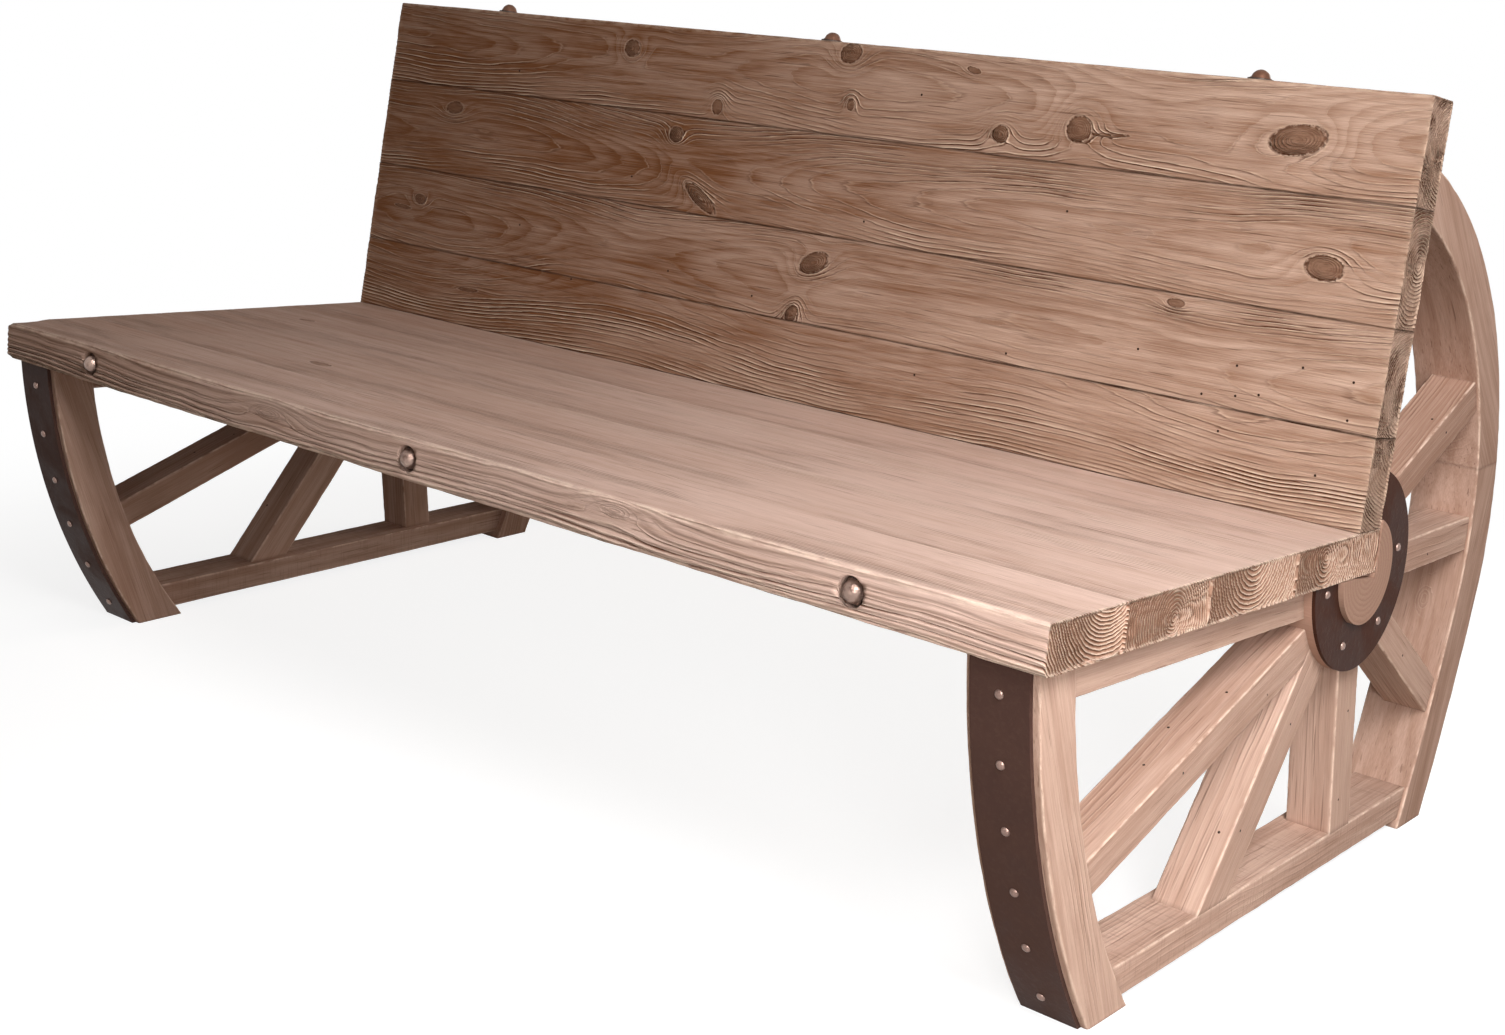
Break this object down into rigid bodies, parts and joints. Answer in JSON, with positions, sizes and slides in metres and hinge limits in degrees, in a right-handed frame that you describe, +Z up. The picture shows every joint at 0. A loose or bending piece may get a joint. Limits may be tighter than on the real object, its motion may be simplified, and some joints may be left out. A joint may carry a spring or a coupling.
{
  "type": "wagon wheel bench",
  "caption": "Rustic planked bench with a leaning planked back, carried by two wheel-built end frames with felloes, spokes, hubs, iron tyres and studs.",
  "frame": {"origin": "on the floor, midway along the bench and midway between the seat's front edge and the rearmost point of the tyres", "axes": "+X along the bench to the sitter's left, +Y to the back, +Z up"},
  "size_m": [1.7, 1.0348, 0.8915],
  "materials": {
    "seat_wood": "brushed reclaimed pine, dry and pale, grain in relief",
    "back_wood": "brushed reclaimed pine, browner and knotty, grain in relief",
    "left_frame_wood": "old wheel wood, dry, worn arrises",
    "right_frame_wood": "old wheel wood, dry, worn arrises",
    "peg_wood": "plain turned dowel",
    "tyre_iron": "dark brown weathered iron",
    "stud_iron": "rubbed dome-headed nails",
    "bolt_bronze": "brown oiled steel, domed",
    "hardware_steel": "plain dark steel"
  },
  "bodies": {
    "root": {"seat_plank_1": "seat_wood", "seat_plank_2": "seat_wood", "seat_plank_3": "seat_wood", "seat_plank_4": "seat_wood", "back_plank_1": "back_wood", "back_plank_2": "back_wood", "back_plank_3": "back_wood", "back_plank_4": "back_wood", "seat_tie_bolts": "bolt_bronze", "seat_bolt_washers": "hardware_steel", "seat_bolt_nuts": "hardware_steel", "back_tie_rods": "bolt_bronze", "back_dome_nuts": "bolt_bronze", "back_rod_washers": "hardware_steel", "back_rod_nuts": "hardware_steel", "back_foot_dowels": "peg_wood", "seat_lag_screws": "hardware_steel", "left_front_felloe": "left_frame_wood", "left_rear_lower_felloe": "left_frame_wood", "left_rear_upper_felloe": "left_frame_wood", "left_felloe_dowel": "peg_wood", "left_rim_dowel": "peg_wood", "left_front_tyre": "tyre_iron", "left_rear_tyre": "tyre_iron", "left_front_tyre_studs": "stud_iron", "left_rear_tyre_studs": "stud_iron", "left_bottom_rail": "left_frame_wood", "left_seat_rail": "left_frame_wood", "left_front_low_spoke": "left_frame_wood", "left_front_steep_spoke": "left_frame_wood", "left_upright_spoke": "left_frame_wood", "left_rear_low_spoke": "left_frame_wood", "left_rear_level_spoke": "left_frame_wood", "left_rear_high_spoke": "left_frame_wood", "left_hub_barrel": "left_frame_wood", "left_hub_ring": "tyre_iron", "left_hub_boss": "left_frame_wood", "left_hub_studs": "stud_iron", "right_front_felloe": "right_frame_wood", "right_rear_lower_felloe": "right_frame_wood", "right_rear_upper_felloe": "right_frame_wood", "right_felloe_dowel": "peg_wood", "right_rim_dowel": "peg_wood", "right_front_tyre": "tyre_iron", "right_rear_tyre": "tyre_iron", "right_front_tyre_studs": "stud_iron", "right_rear_tyre_studs": "stud_iron", "right_bottom_rail": "right_frame_wood", "right_seat_rail": "right_frame_wood", "right_front_low_spoke": "right_frame_wood", "right_front_steep_spoke": "right_frame_wood", "right_upright_spoke": "right_frame_wood", "right_rear_low_spoke": "right_frame_wood", "right_rear_level_spoke": "right_frame_wood", "right_rear_high_spoke": "right_frame_wood", "right_hub_barrel": "right_frame_wood", "right_hub_ring": "tyre_iron", "right_hub_boss": "right_frame_wood", "right_hub_studs": "stud_iron"}
  },
  "joints": []
}
